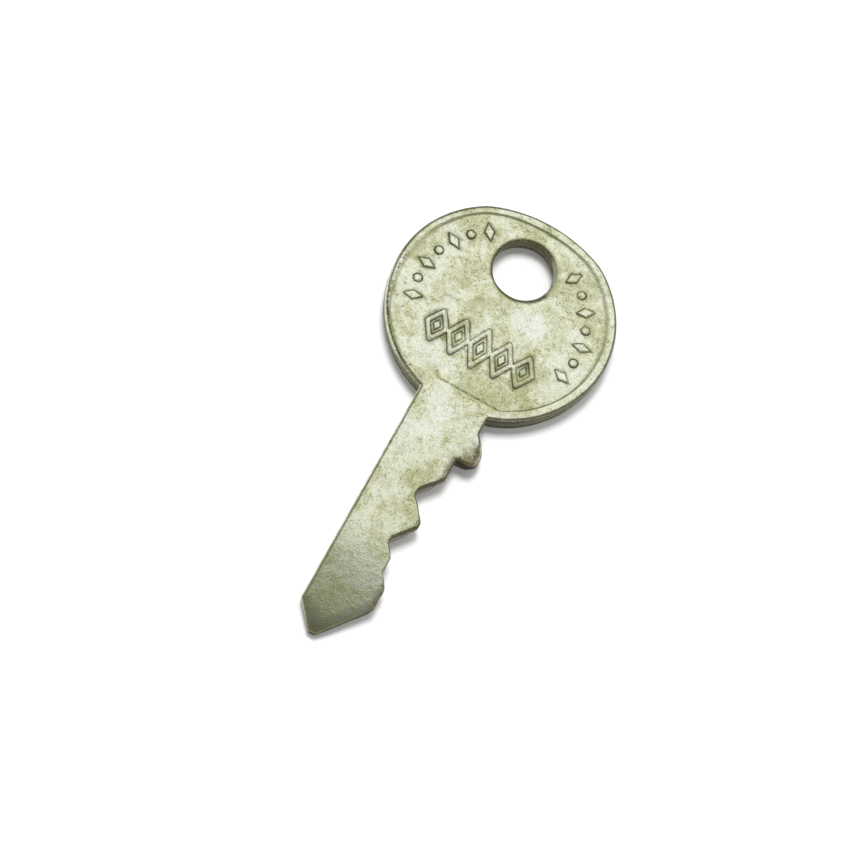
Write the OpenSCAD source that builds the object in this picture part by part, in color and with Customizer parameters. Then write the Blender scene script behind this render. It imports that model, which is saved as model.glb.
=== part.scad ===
// A flat key for a small lock, all one piece of nickel silver.
// The blank is punched from strip, the bow is coined on both faces, and the cuts are filed into one edge.
// Millimetres. The key lies flat: +X is the side with the cuts, +Y is the bow's end, +Z is the upper face.
// The origin is on the underside, on the bow's centre line, half way along the key.

/* [Strip] */
// thickness of the strip that the key is punched from
thick = 2.5; // [1.8:0.1:3.2]

/* [Bow] */
// diameter of the round bow
bow_d = 23.2; // [20:0.2:27]
// how much the bow is flattened at its end, measured in from the full circle
end_flat = 0.4; // [0.2:0.1:1]
// radius of the flatter curve across the bow's end
end_r = 14; // [13.6:0.1:20]
// width of the bevel round the bow's edges
bow_bevel = 0.15; // [0.05:0.05:0.3]

/* [Key ring hole] */
// diameter of the hole
hole_d = 6.6; // [5:0.1:8]
// distance from the bow's end to the middle of the hole
hole_in = 5.9; // [5:0.1:7.5]
// width of the bevel round the hole's edges
hole_bevel = 0.2; // [0.05:0.05:0.3]

/* [Coining] */
// width of the raised rim round the bow
rim_w = 0.78; // [0.5:0.02:1.2]
// width of the rim at the bow's flattened end
rim_end_w = 1.1; // [0.8:0.05:1.4]
// depth that the coining die presses the field in below the rim
field_deep = 0.18; // [0.1:0.02:0.3]
// how far the die sits off the bow's centre, towards the spine and towards the tip
die_off = 0.15; // [0:0.01:0.2]
// distance from the bow's centre to the straight edge of the field, across the blade's root
field_edge = 9.5; // [9:0.1:10.2]

/* [Raised marks] */
// distance from the bow's centre down to the middle of the row of linked lozenges
row_down = 4.5; // [3.5:0.05:5.5]
// spacing of the lozenges in the row
row_step = 2.4; // [1.8:0.05:2.6]
// height of the middle lozenge
row_tall = 5.4; // [4:0.1:6]
// how much lower each lozenge is than the one before, going out from the middle
row_fall = 0.55; // [0.2:0.05:0.8]
// width of the raised line that each lozenge is drawn with
line_w = 0.48; // [0.3:0.02:0.6]
// radius of the two arcs of marks inside the rim
arc_r = 8.75; // [8.2:0.05:9.2]
// angle between neighbouring marks in an arc
arc_step = 12.5; // [10:0.5:14]
// angle from the bow's end to the first mark of each arc
arc_from = 33; // [30:1:45]
// height of a small lozenge in the arcs, from the rim inwards
mark_tall = 1.8; // [1.2:0.1:2.2]
// width of a small lozenge in the arcs
mark_w = 0.95; // [0.6:0.05:1.2]
// diameter of a round pellet in the arcs
pellet_d = 0.85; // [0.5:0.05:1.2]

/* [Neck and stop lug] */
// length of the neck between the bow's circle and the stop lug
neck_len = 1; // [0.8:0.1:3]
// how far the neck stands out beyond the tops of the teeth, on the cut side
neck_out = 0.7; // [0.3:0.05:1]
// length of the stop lug along the key
lug_len = 3.4; // [2.6:0.1:4.5]
// how far the stop lug stands out beyond the tops of the teeth, on the cut side
lug_out = 2.05; // [1.8:0.05:2.6]
// width of the worn bevel on the upper edge of the stop lug
lug_bevel = 1.1; // [0.6:0.1:1.3]

/* [Blade] */
// length of the blade, from the face of the stop lug to the tip
blade_len = 22.2; // [20:0.2:28]
// width of the blade, from its spine to the tops of the teeth
blade_w = 6.6; // [6:0.1:7.6]
// how far the blade's own centre line lies to the spine side of the bow's
blade_off = 0.18; // [0:0.02:0.4]
// width of the bevel along the edges of the spine
spine_bevel = 0.25; // [0.1:0.05:0.4]

/* [Cuts] */
// place of the middle of cut 1, as a share of the blade's length from the stop lug
cut_1_at = 0.225; // [0.21:0.005:0.24]
// width of metal that cut 1 leaves, as a share of the blade's width
cut_1_left = 0.72; // [0.66:0.002:0.8]
// place of the middle of cut 2, as a share of the blade's length from the stop lug
cut_2_at = 0.482; // [0.47:0.002:0.49]
// width of metal that cut 2 leaves, as a share of the blade's width
cut_2_left = 0.72; // [0.66:0.002:0.76]
// place of the middle of cut 3, as a share of the blade's length from the stop lug
cut_3_at = 0.594; // [0.584:0.002:0.604]
// width of metal that cut 3 leaves, as a share of the blade's width
cut_3_left = 0.86; // [0.82:0.01:0.9]
// length of the flat floor of cuts 1 and 2
floor_len = 0.6; // [0.3:0.1:0.9]
// length of the flat floor of cut 3
floor_3_len = 1.6; // [1.2:0.1:2]
// angle of every cut's sides from the blade's centre line
side_angle = 38; // [35:1:45]

/* [Tip] */
// distance from the tip back to where its cut side begins
tip_back = 4.8; // [4:0.1:5.5]
// distance from the tip back to where its spine side begins
spine_back = 2.6; // [2.4:0.1:4]
// distance from the blade's centre line to the middle of the blunt tip, towards the spine
tip_off = 0.8; // [0.4:0.05:1.4]
// width of the blunt tip
tip_w = 0.8; // [0.6:0.1:1.2]
// length of the slope that thins the blade's end from above, measured back from the tip
thin_len = 9.4; // [6:0.1:11]
// how far that slope has come down at the tip itself
thin_deep = 1.2; // [0.8:0.1:1.4]

/* [Hidden] */
// $fn for circles: the arcs come back exact, this only sets how finely they are drawn
$fn = 96;
// steps in each rounded corner of the blade's outline
corner_steps = 4;
// overshoot that lets a cutter pass clean through a face
over = 0.5;
// how far the blade's blank reaches up inside the bow
root_in = 4;
bow_r = bow_d / 2;
bow_top = bow_r - end_flat;
key_len = bow_top + bow_r + neck_len + lug_len + blade_len;
end_y = key_len / 2;
tip_y = -key_len / 2;
bow_y = end_y - bow_top;
hole_y = end_y - hole_in;
stop_y = tip_y + blade_len;
lug_y = stop_y + lug_len;
spine_x = -blade_w / 2 - blade_off;
tooth_x = blade_w / 2 - blade_off;
neck_x = tooth_x + neck_out;
lug_x = tooth_x + lug_out;
tip_x = -blade_off - tip_off;
// shortest flat that is left on top of a tooth
land = 0.22;
// rounding of the sharp outer corners of the teeth, and of the corners left by the file
tooth_round = 0.3;
file_round = 0.2;
// rounding of the stop lug's two outer corners, and of the corner where the tip's cut side begins
lug_round = 0.6;
tip_round = 0.8;
// bevel left by tumbling on the tip's lower edges
tumble = 0.25;
// depth of the worn bevel on the stop lug
lug_bevel_deep = 0.45;
// lozenges in the row on each side of the middle one, and marks in each arc
row_each_side = 2;
arc_marks = 7;
// size of the small solid lozenge inside a lined one, as a share of the room inside the line
pip_share = 0.45;
key_colour = [0.8, 0.81, 0.7];

// one corner of an outline rounded off: p, q and s are [x, y, radius], and q is the corner itself
function unit(v) = v / norm(v);
function flat(p) = [p[0], p[1]];
function half_angle(p, q, s) = acos(unit(flat(p) - flat(q)) * unit(flat(s) - flat(q))) / 2;
function arc_centre(p, q, s) =
    flat(q) + unit(unit(flat(p) - flat(q)) + unit(flat(s) - flat(q))) * q[2] / sin(half_angle(p, q, s));
function arc_start(p, q, s) = flat(q) + unit(flat(p) - flat(q)) * q[2] / tan(half_angle(p, q, s));
function heading(v) = atan2(v[1], v[0]);
function turn(a, b) = (b - a + 540) % 360 - 180;
function arc_points(c, first, last, r) =
    [for (i = [0:corner_steps])
        c + r * [cos(heading(first - c) + turn(heading(first - c), heading(last - c)) * i / corner_steps),
                 sin(heading(first - c) + turn(heading(first - c), heading(last - c)) * i / corner_steps)]];
function corner(p, q, s) =
    q[2] == 0 ? [flat(q)] : arc_points(arc_centre(p, q, s), arc_start(p, q, s), arc_start(s, q, p), q[2]);
function rounded(c) =
    [for (i = [0:len(c) - 1]) each corner(c[(i + len(c) - 1) % len(c)], c[i], c[(i + 1) % len(c)])];

// how far a cut's side runs along the key while it rises from the floor to the height x
function side_run(floor_x, x) = (x - floor_x) / tan(side_angle);

cut_1_x = spine_x + blade_w * cut_1_left;
cut_2_x = spine_x + blade_w * cut_2_left;
cut_3_x = spine_x + blade_w * cut_3_left;
cut_1_y = stop_y - blade_len * cut_1_at;
cut_2_y = stop_y - blade_len * cut_2_at;
cut_3_y = stop_y - blade_len * cut_3_at;

// the top of a tooth between two cuts: the blade's full width, or lower where the two sides meet first
function peak(high_floor, high_y, low_floor, low_y) =
    min(tooth_x, (high_floor + low_floor + (high_y - low_y - land) * tan(side_angle)) / 2);
peak_a = peak(tooth_x - over, stop_y, cut_1_x, cut_1_y + floor_len / 2);
peak_b = peak(cut_1_x, cut_1_y - floor_len / 2, cut_2_x, cut_2_y + floor_len / 2);
peak_c = peak(cut_3_x, cut_3_y - floor_3_len / 2, tooth_x - over, tip_y + tip_back);

// the blade, neck and lug seen from above, going round from the root on the cut side to the root on the spine
blade_outline = [
    [neck_x, bow_y - bow_r + root_in, 0],
    [neck_x, lug_y, file_round],
    [lug_x, lug_y - (lug_x - neck_x), lug_round],
    [lug_x, stop_y, lug_round],
    [peak_a, stop_y, file_round],
    [peak_a, cut_1_y + floor_len / 2 + side_run(cut_1_x, peak_a), tooth_round],
    [cut_1_x, cut_1_y + floor_len / 2, file_round],
    [cut_1_x, cut_1_y - floor_len / 2, file_round],
    [peak_b, cut_1_y - floor_len / 2 - side_run(cut_1_x, peak_b), tooth_round],
    [peak_b, cut_2_y + floor_len / 2 + side_run(cut_2_x, peak_b), tooth_round],
    [cut_2_x, cut_2_y + floor_len / 2, file_round],
    [cut_2_x, cut_2_y - floor_len / 2, file_round],
    [cut_3_x, cut_2_y - floor_len / 2 - side_run(cut_2_x, cut_3_x), file_round],
    [cut_3_x, cut_3_y - floor_3_len / 2, file_round],
    [peak_c, cut_3_y - floor_3_len / 2 - side_run(cut_3_x, peak_c), tooth_round],
    [peak_c, tip_y + tip_back, tip_round],
    [tip_x + tip_w / 2, tip_y, file_round],
    [tip_x - tip_w / 2, tip_y, file_round],
    [spine_x, tip_y + spine_back, tooth_round],
    [spine_x, bow_y - bow_r + root_in, 0]
];

// a disc of radius r, bevelled on both edges, standing on z = 0
module bevelled_disc(r, bevel) {
    rotate_extrude()
        polygon([
            [0, 0],
            [r - bevel, 0],
            [r, bevel],
            [r, thick - bevel],
            [r - bevel, thick],
            [0, thick]
        ]);
}

// the bow's blank: a disc whose end is trimmed by a flatter curve
module bow_blank() {
    intersection() {
        translate([0, bow_y, 0])
            bevelled_disc(bow_r, bow_bevel);
        translate([0, end_y - end_r, 0])
            bevelled_disc(end_r, bow_bevel);
    }
}

// the neck, lug and blade, punched and cut to their outline
module blade_blank() {
    linear_extrude(thick)
        polygon(rounded(blade_outline));
}

// a long bar laid on the slant: it takes a bevel of the stated width and depth off an edge.
// the edge runs from [0, 0] along +Y at height z, with the metal on the +X side
module edge_cutter(wide, deep, long, z) {
    side = norm([wide, deep]);
    up = z > 0 ? 1 : -1;
    tilt = atan2(deep, wide);
    translate([0, 0, z - up * deep])
        rotate([0, -up * tilt, 0])
            translate([-over, 0, up > 0 ? 0 : -side])
                cube([side + 2 * over, long, side]);
}

// a bevel along the edge that runs from point p to point q on the face at height z, metal on its left
module bevel_between(p, q, wide, deep, z) {
    translate([q[0], q[1], 0])
        rotate([0, 0, heading(p - q) - 90])
            translate([0, -over, 0])
                edge_cutter(wide, deep, norm(q - p) + 2 * over, z);
}

// what the coining die presses in: the field inside the rim, less the raised marks
module field_shape(deep) {
    intersection() {
        translate([-die_off, bow_y - die_off, 0])
            cylinder(h = deep, r = bow_r - rim_w);
        translate([-die_off, end_y - rim_end_w - (end_r - rim_w), 0])
            cylinder(h = deep, r = end_r - rim_w);
        translate([-bow_r, bow_y - field_edge, 0])
            cube([2 * bow_r, 2 * bow_r, deep]);
    }
}

// a lozenge, half as wide as w and half as tall as h each way from its centre
module lozenge(w, h, deep) {
    linear_extrude(deep)
        polygon([[w / 2, 0], [0, h / 2], [-w / 2, 0], [0, -h / 2]]);
}

// a lozenge drawn as a raised line, with a small solid lozenge inside it
module lined_lozenge(w, h, deep) {
    slope = norm([w, h]);
    inner_w = w - 2 * line_w * slope / h;
    inner_h = h - 2 * line_w * slope / w;
    difference() {
        lozenge(w, h, deep);
        translate([0, 0, -over])
            lozenge(inner_w, inner_h, deep + 2 * over);
    }
    lozenge(inner_w * pip_share, inner_h * pip_share, deep);
}

// the row of linked lozenges across the bow, tallest in the middle
module lozenge_row(deep) {
    for (i = [-row_each_side:row_each_side])
        translate([i * row_step - die_off, bow_y - row_down, 0])
            lined_lozenge(row_step + line_w / 2, row_tall - abs(i) * row_fall, deep);
}

// one arc of marks inside the rim: small lozenges and round pellets in turn
module mark_arc(side, deep) {
    for (i = [0:arc_marks - 1])
        translate([-die_off, bow_y - die_off, 0])
            rotate([0, 0, -side * (arc_from + i * arc_step)])
                translate([0, arc_r, 0])
                    if (i % 2 == 0)
                        lozenge(mark_w, mark_tall, deep);
                    else
                        cylinder(h = deep, d = pellet_d, $fn = 32);
}

// the die's work on the upper face, with the row and both arcs of marks
module upper_coining() {
    translate([0, 0, thick - field_deep])
        difference() {
            field_shape(field_deep + over);
            translate([0, 0, -over])
                lozenge_row(field_deep + 3 * over);
            translate([0, 0, -over])
                mark_arc(1, field_deep + 3 * over);
            translate([0, 0, -over])
                mark_arc(-1, field_deep + 3 * over);
        }
}

// the die's work on the underside: the same rim and row, with the rest of the field left plain
module lower_coining() {
    translate([0, 0, -over])
        difference() {
            field_shape(field_deep + over);
            translate([0, 0, -over])
                lozenge_row(field_deep + 3 * over);
        }
}

// the key ring hole, with its edges bevelled where they meet the field on each face
module ring_hole() {
    low = field_deep;
    high = thick - field_deep;
    translate([0, hole_y, 0])
        rotate_extrude()
            polygon([
                [0, -over],
                [hole_d / 2 + hole_bevel + over + low, -over],
                [hole_d / 2, low + hole_bevel],
                [hole_d / 2, high - hole_bevel],
                [hole_d / 2 + hole_bevel + over + low, thick + over],
                [0, thick + over]
            ]);
}

// bevels along the spine, on both faces, from the tip's shoulder up to the bow
module spine_bevels() {
    low = [spine_x, tip_y + spine_back + tooth_round];
    high = [spine_x, bow_y - sqrt(bow_r * bow_r - spine_x * spine_x) - over];
    bevel_between(high, low, spine_bevel, spine_bevel, thick);
    bevel_between(high, low, spine_bevel, spine_bevel, 0);
}

// the long slope that thins the blade's end from above, and the worn lower edges of the tip
module tip_wear() {
    spine_side = [spine_x, tip_y + spine_back];
    left = [tip_x - tip_w / 2, tip_y];
    right = [tip_x + tip_w / 2, tip_y];
    tooth_side = [peak_c, tip_y + tip_back];
    bevel_between(left - [blade_w, 0], right + [blade_w, 0], thin_len, thin_deep, thick);
    bevel_between(spine_side, left, tumble, tumble, 0);
    bevel_between(left, right, tumble, tumble, 0);
    bevel_between(right, tooth_side, tumble, tumble, 0);
}

// the worn bevel on the upper edge of the stop lug
module lug_wear() {
    bevel_between([lug_x, stop_y], [lug_x, lug_y - (lug_x - neck_x)], lug_bevel, lug_bevel_deep, thick);
}

module key() {
    color(key_colour)
        difference() {
            union() {
                bow_blank();
                blade_blank();
            }
            upper_coining();
            lower_coining();
            ring_hole();
            spine_bevels();
            tip_wear();
            lug_wear();
        }
}

key();
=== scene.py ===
# %% [markdown]
# # A worn key in nickel silver
# This lesson dresses a small flat key for a photograph-like picture. The key is one piece of metal:
# a round coined bow to hold, a key ring hole, a stop lug, and a blade with three cuts filed into one edge.
# The CAD model is loaded first and stays where it is. Everything we make sits in the same frame, in metres.

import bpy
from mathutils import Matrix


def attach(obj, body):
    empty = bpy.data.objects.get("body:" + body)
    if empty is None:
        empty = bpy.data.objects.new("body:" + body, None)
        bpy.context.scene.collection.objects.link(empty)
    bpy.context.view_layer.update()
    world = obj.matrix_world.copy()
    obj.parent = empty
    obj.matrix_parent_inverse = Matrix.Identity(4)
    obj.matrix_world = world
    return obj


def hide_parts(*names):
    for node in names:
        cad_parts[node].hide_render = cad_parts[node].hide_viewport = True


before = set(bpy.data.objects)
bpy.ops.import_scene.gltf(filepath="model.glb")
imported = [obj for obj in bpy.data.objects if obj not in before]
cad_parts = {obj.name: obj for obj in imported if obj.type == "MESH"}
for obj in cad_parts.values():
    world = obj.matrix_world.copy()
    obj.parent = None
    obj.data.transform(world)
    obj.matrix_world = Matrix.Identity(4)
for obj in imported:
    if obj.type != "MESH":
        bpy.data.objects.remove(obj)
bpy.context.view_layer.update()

# %% [markdown]
# ## Tools for the lesson
# We draw the key as flat outlines in millimetres, which are easy numbers to read for so small a thing,
# and turn them into metres only when the mesh is written. numpy handles many points at once.
# Two curves come back all the time: `smooth` goes from 0 to 1, and `hump` is high at one place only.

# %% Helpers that every step shares
import math

import bpy
import numpy as np
from mathutils import Matrix, Vector, noise
from mathutils.geometry import delaunay_2d_cdt

MM = 0.001


def unit(v):
    return v / np.linalg.norm(v)


def smooth(t):
    """0 below 0, 1 above 1, and an S-shaped ramp between."""
    t = np.clip(t, 0, 1)
    return t * t * (3 - 2 * t)


def hump(t, width):
    """1 where t is 0, and falling off softly on both sides over about `width`."""
    return np.exp(-(t / width) ** 2)


def by_angle(table, angle):
    """Reads a table of (degrees, value) all the way round a circle, with a smooth change between its rows."""
    steps = np.array([a for a, _ in table], float)
    values = np.array([v for _, v in table], float)
    angle = np.asarray(angle, float)
    i = np.clip(np.searchsorted(steps, angle, side="right") - 1, 0, len(steps) - 2)
    t = (angle - steps[i]) / (steps[i + 1] - steps[i])
    return values[i] + (values[i + 1] - values[i]) * smooth(t)


def angle_about(points, centre_y):
    """Degrees round a centre on the bow's centre line: 0 towards the bow's end, 90 towards the cut side."""
    return np.degrees(np.arctan2(points[:, 0], points[:, 1] - centre_y))


def slow_noise(points, scale, seed):
    """Smooth noise between about -0.5 and 0.5, with `scale` waves to the millimetre."""
    if points.shape[1] == 2:
        points = np.c_[points, np.zeros(len(points))]
    return np.array([noise.noise(Vector((x * scale + seed, y * scale, z * scale))) for x, y, z in points])


# %% [markdown]
# ## The key's sizes
# These are the sizes of the CAD model, with the wear of the real key on top of them.
# A bow that was punched and then coined is never a true circle: the lower half is a little smaller here,
# and the end is flattened. A table of angles and radii says this in a few rows.

# %% Sizes in millimetres
THICK = 2.5
END_Y, TIP_Y = 24.7, -24.7
BOW_Y = 13.5
BOW_EDGE = [(-180, 11.58), (-120, 11.59), (-90, 11.6), (-65, 11.68), (-35, 11.66), (35, 11.66), (65, 11.66),
            (90, 11.59), (100, 11.53), (112, 11.43), (130, 11.39), (180, 11.38)]
END_R, END_BLEND = 14.9, 0.04
HOLE_Y = 18.8
SPINE_X, TOOTH_X = -3.48, 3.12
NECK_X, LUG_X = 3.82, 5.17
STOP_Y, LUG_Y = -2.5, 0.9
CUT_FLOORS = [(1.27, -7.495, 0.6), (1.27, -13.2, 0.6), (2.196, -15.687, 1.6)]  # x, y and length
SIDE_ANGLE = math.radians(38)
TIP_BACK, SPINE_BACK = 4.8, 2.55
TIP_X, TIP_W = -0.98, 0.8
print("blade:", round(STOP_Y - TIP_Y, 2), "mm long,", round(TOOTH_X - SPINE_X, 2), "mm wide")

# %% [markdown]
# ## The outline
# The key is punched from strip and then filed, so its outline tells almost everything about it.
# One way to draw it would be a Bezier curve. We use a list of corners instead, each with its own radius,
# because that is how a key is specified: straight runs, with small roundings where a file wore them.
# The list goes round counter-clockwise and starts where the bow meets the neck on the cut side.

# %% List the corners of the outline


def bow_point(angle, inward=0.0):
    """A point of the bow's edge. The angle is in degrees from the bow's end, positive towards the cut side."""
    a = np.radians(angle)
    c = np.cos(a)
    round_r = by_angle(BOW_EDGE, angle) - 11
    middle = END_Y - END_R - BOW_Y
    flat_r = middle * c + np.sqrt(END_R ** 2 - (middle * np.sin(a)) ** 2) - 11
    r = -END_BLEND * np.log(np.exp(-round_r / END_BLEND) + np.exp(-flat_r / END_BLEND)) + 11 - inward
    return np.stack([r * np.sin(a), BOW_Y + r * c], -1)


def root_angle(x):
    """The angle at which the bow's edge crosses the line at x, below the bow's middle."""
    for angle in np.arange(179.0, 90.0, -0.1) * (1 if x > 0 else -1):
        if abs(bow_point(angle)[0]) >= abs(x):
            return angle


def side_run(floor_x, x):
    """How far along the blade a cut's sloping side runs between its floor and x."""
    return (x - floor_x) / math.tan(SIDE_ANGLE)


cut_root, spine_root = root_angle(NECK_X), root_angle(SPINE_X)
corners = [(NECK_X, bow_point(cut_root)[1], 0.12)]
corners += [(*bow_point(a), 0) for a in np.arange(cut_root - 1.5, spine_root + 1.2, -1.0)]
corners += [(SPINE_X, bow_point(spine_root)[1], 0.12), (SPINE_X, TIP_Y + SPINE_BACK, 0.45)]
corners += [(TIP_X - TIP_W / 2, TIP_Y, 0.35), (TIP_X + TIP_W / 2, TIP_Y, 0.35)]
corners += [(TOOTH_X, TIP_Y + TIP_BACK, 1.1)]
(x1, y1, l1), (x2, y2, l2), (x3, y3, l3) = CUT_FLOORS
corners += [(TOOTH_X, y3 - l3 / 2 - side_run(x3, TOOTH_X), 0.9), (x3, y3 - l3 / 2, 0.3)]
corners += [(x3, y2 - l2 / 2 - side_run(x2, x3), 0.9), (x2, y2 - l2 / 2, 0.3), (x2, y2 + l2 / 2, 0.2)]
rise, fall = y2 + l2 / 2 + side_run(x2, TOOTH_X), y1 - l1 / 2 - side_run(x1, TOOTH_X)
corners += [(TOOTH_X + (fall - rise) / 2 * math.tan(SIDE_ANGLE), (rise + fall) / 2, 0.47)]
corners += [(x1, y1 - l1 / 2, 0.3), (x1, y1 + l1 / 2, 0.3)]
corners += [(TOOTH_X, y1 + l1 / 2 + side_run(x1, TOOTH_X), 0.6), (TOOTH_X, STOP_Y, 0.18)]
corners += [(LUG_X, STOP_Y, 1.1), (LUG_X, LUG_Y - (LUG_X - NECK_X), 1.7), (NECK_X, LUG_Y, 0.5)]
print(len(corners), "corners round the key")

# %% [markdown]
# Now each corner is replaced by an arc of its radius, and the straight runs get points at even steps.
# At every point we also keep the direction that leads into the metal. With it, the outline can be moved
# inwards by any amount, and that is how the rounded edges are made later. A file never leaves a cut quite
# straight, so the filed part is moved a few hundredths of a millimetre by a slow noise.

# %% Turn the corners into a closed line of points


def rounded_line(corners, arc_step=0.05, run_step=0.16):
    """A closed line of points. A corner of radius 0 is one point of a curve, and keeps its place."""
    parts = []
    n = len(corners)
    for i in range(n):
        p, q, s = (np.array(corners[(i + k) % n][:2], float) for k in (-1, 0, 1))
        radius = corners[i][2]
        if radius == 0:
            parts.append([q])
            continue
        a, b = unit(p - q), unit(s - q)
        half = math.acos(np.clip(a @ b, -1, 1)) / 2
        reach = radius / math.tan(half)
        centre = q + unit(a + b) * radius / math.sin(half)
        first, last = q + a * reach - centre, q + b * reach - centre
        start = math.atan2(first[1], first[0])
        sweep = (math.atan2(last[1], last[0]) - start + math.pi) % (2 * math.pi) - math.pi
        steps = max(3, math.ceil(abs(sweep) * radius / arc_step), math.ceil(abs(sweep) / math.radians(14)))
        angles = start + sweep * np.linspace(0, 1, steps + 1)
        parts.append([centre + radius * np.array([math.cos(t), math.sin(t)]) for t in angles])
    points = []
    for i, part in enumerate(parts):
        points += part
        a, b = part[-1], parts[(i + 1) % n][0]
        count = math.ceil(np.linalg.norm(b - a) / run_step)
        points += [a + (b - a) * k / count for k in range(1, count)]
    return np.array(points)


def inward_of(points):
    """At each point of a closed line, the direction to the left of the way it runs."""
    ahead = np.roll(points, -1, 0) - points
    behind = points - np.roll(points, 1, 0)
    ahead /= np.linalg.norm(ahead, axis=1)[:, None]
    behind /= np.linalg.norm(behind, axis=1)[:, None]
    along = ahead + behind
    along /= np.linalg.norm(along, axis=1)[:, None]
    return np.stack([-along[:, 1], along[:, 0]], 1)


outline = rounded_line(corners)
by_file = smooth((outline[:, 0] - 1.0) / 0.3) * smooth((STOP_Y - 0.2 - outline[:, 1]) / 0.4)
outline += inward_of(outline) * (by_file * (0.02 + 0.07 * slow_noise(outline, 1.3, 17.0)))[:, None]
inward = inward_of(outline)
print(len(outline), "points round the outline; it spans", np.ptp(outline, 0).round(2), "mm")

# %% [markdown]
# ## How round is each edge?
# A sharp edge never looks like metal. Here each stretch of the outline gets the radius of its own wear:
# the spine and the lower left of the bow are rubbed quite round, and the lug's nose even more. The filed cuts
# are still crisp, but a file leaves a small bevel there. A last value, the undercut, says how far the wall
# leans in at the underside. Where two stretches meet, the values are mixed with their neighbours'.

# %% Mark the stretches of the outline
bow_angle = angle_about(outline, BOW_Y)
on_bow = outline[:, 1] > bow_point(cut_root)[1] + 0.02
on_bow |= (outline[:, 1] > bow_point(spine_root)[1] + 0.02) & (outline[:, 0] < 0)
on_spine = (outline[:, 0] < SPINE_X + 0.02) & ~on_bow
tip_slope = (outline[:, 1] < TIP_Y + TIP_BACK + 0.6) & ~on_spine
on_lug = (outline[:, 0] > TOOTH_X + 0.1) & ~on_bow & (outline[:, 1] > STOP_Y - 0.1)
cut_side = (outline[:, 0] > 1.0) & (outline[:, 1] < STOP_Y - 0.05) & (outline[:, 1] > TIP_Y + TIP_BACK)
print(on_bow.sum(), "points on the bow,", on_spine.sum(), "on the spine,", cut_side.sum(), "on the cuts")

# %% Radius of the worn edge, bevel and undercut at each outline point
BOW_WEAR = [(-180, 0.34), (-140, 0.36), (-108, 0.34), (-85, 0.3), (-40, 0.34), (0, 0.26), (40, 0.28),
            (110, 0.26), (180, 0.26)]
BOW_UNDERCUT = [(-180, 0.3), (-100, 0.2), (-60, 0.1), (90, 0.1), (180, 0.12)]
NECK_ROUND, SPINE_ROUND, TIP_ROUND, LUG_ROUND, NOSE_ROUND = 0.14, 0.32, 0.13, 0.22, 0.6


def mixed(values, reach, rounds):
    """Mixes each value with those of the next `reach` outline points on both sides, several times."""
    for _ in range(rounds):
        values = sum(np.roll(values, k) for k in range(reach, -reach - 1, -1)) / (2 * reach + 1)
    return values


top_round = np.where(on_bow, by_angle(BOW_WEAR, bow_angle), NECK_ROUND)
for stretch, radius in ((on_spine, SPINE_ROUND), (tip_slope, TIP_ROUND), (on_lug, LUG_ROUND)):
    top_round[stretch] = radius
nose = smooth((outline[:, 0] - 4.3) / 0.7) * smooth((outline[:, 1] - STOP_Y - 0.1) / 0.8) * on_lug
top_round = mixed(top_round + NOSE_ROUND * nose, 2, 3)
bevel = np.where(cut_side, 0.14 + 0.36 * smooth((outline[:, 0] - TOOTH_X + 0.5) / 0.4), 0.0)
bevel = mixed(bevel, 1, 6)
undercut = np.where(on_bow, by_angle(BOW_UNDERCUT, bow_angle), 0.06)
undercut += on_lug * 0.3 * smooth((outline[:, 0] - TOOTH_X - 0.05) / 0.5)
undercut += cut_side * 0.36 * smooth((outline[:, 0] - TOOTH_X + 0.6) / 0.5)
undercut = mixed(undercut, 2, 6)
print("worn edges from", top_round.min().round(2), "to", top_round.max().round(2), "mm")

# %% [markdown]
# ## Distance to the edge
# Many shapes below need to know how far a point is from the outline. For each point we find the nearest
# outline point, and measure along that point's inward direction.

# %% Measure distances to the outline


def nearest(points, targets, chunk=1500):
    """The number of the nearest target for each point, a chunk of points at a time to save memory."""
    index = np.empty(len(points), int)
    for i in range(0, len(points), chunk):
        p = points[i:i + chunk]
        d = (p[:, None, 0] - targets[None, :, 0]) ** 2 + (p[:, None, 1] - targets[None, :, 1]) ** 2
        index[i:i + chunk] = d.argmin(1)
    return index


def to_outline(points):
    """Distance into the metal from the outline, and the index of the nearest outline point."""
    k = nearest(points, outline)
    apart = points - outline[k]
    across = (apart * inward[k]).sum(1)
    far = np.linalg.norm(apart, axis=1)
    return np.where(far > 0.5, far, np.maximum(across, 0)), k


def inside(points, loop, chunk=4000):
    """True for the points inside a closed loop: a line drawn from them crosses it an odd number of times."""
    a, b = loop, np.roll(loop, -1, 0)
    slope = (b[:, 0] - a[:, 0]) / np.where(b[:, 1] == a[:, 1], 1e-12, b[:, 1] - a[:, 1])
    result = np.zeros(len(points), bool)
    for i in range(0, len(points), chunk):
        p = points[i:i + chunk]
        level = (a[None, :, 1] > p[:, None, 1]) != (b[None, :, 1] > p[:, None, 1])
        crossing = a[None, :, 0] + (p[:, None, 1] - a[None, :, 1]) * slope[None, :]
        result[i:i + chunk] = (level & (p[:, None, 0] < crossing)).sum(1) % 2 == 1
    return result


bow_middle = np.array([[0.0, BOW_Y]])
print("the bow's middle is", to_outline(bow_middle)[0].round(2), "mm from the edge")

# %% [markdown]
# ## The coined field and its rim
# A coining die presses the middle of the bow down by less than a fifth of a millimetre and leaves a rim.
# The die sat a little off centre, so the rim is wide at the end and on the right, and thin at the lower left.
# The step is soft in some places and crisp in others, and so is the dark line in its corner. Where the bow
# runs into the blade, the step is so low that it is hard to see.

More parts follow.
